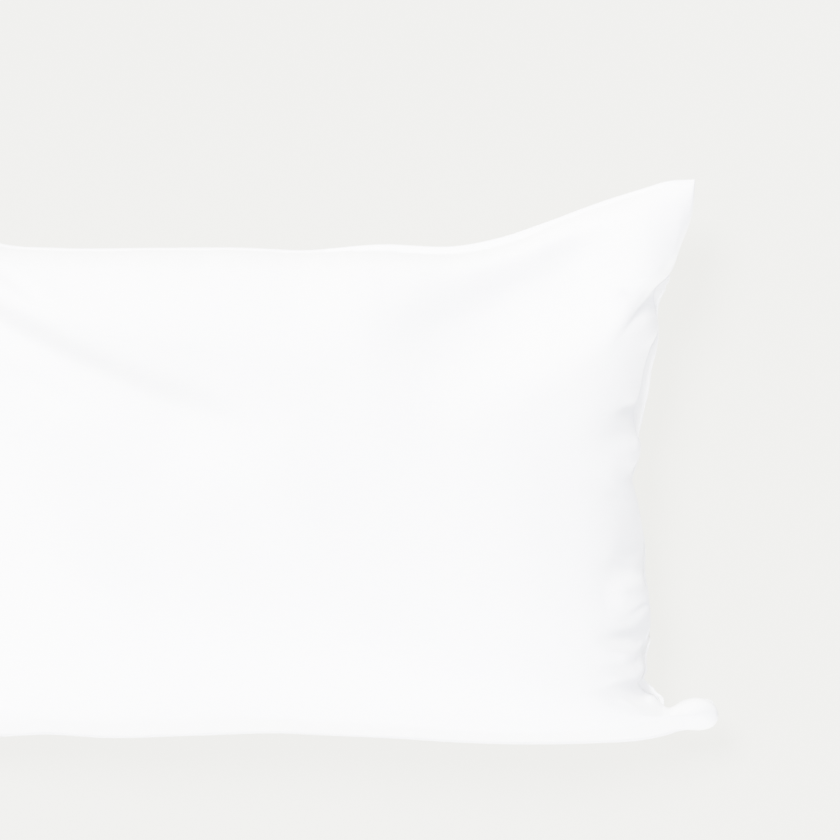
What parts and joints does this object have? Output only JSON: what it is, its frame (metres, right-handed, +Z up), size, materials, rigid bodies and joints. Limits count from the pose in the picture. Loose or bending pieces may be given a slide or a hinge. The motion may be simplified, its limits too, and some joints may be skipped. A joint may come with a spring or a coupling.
{
  "type": "filled pillowcase",
  "caption": "Rectangular cotton pillowcase filled by its pillow and lying on its back: crowned in the middle, flat ears, sides drawn in, back panel's hem free at the open end.",
  "frame": {"origin": "centre of the footprint, on the surface that the case lies on", "axes": "+X along the length towards the open end, +Y across the width, +Z up out of the front panel"},
  "size_m": [0.754, 0.4962, 0.1558],
  "materials": {
    "front_cotton": "bleached plain-woven cotton, matt and smooth",
    "back_cotton": "bleached plain-woven cotton, matt and smooth"
  },
  "bodies": {
    "root": {"case_front": "front_cotton", "case_back": "back_cotton"}
  },
  "joints": []
}
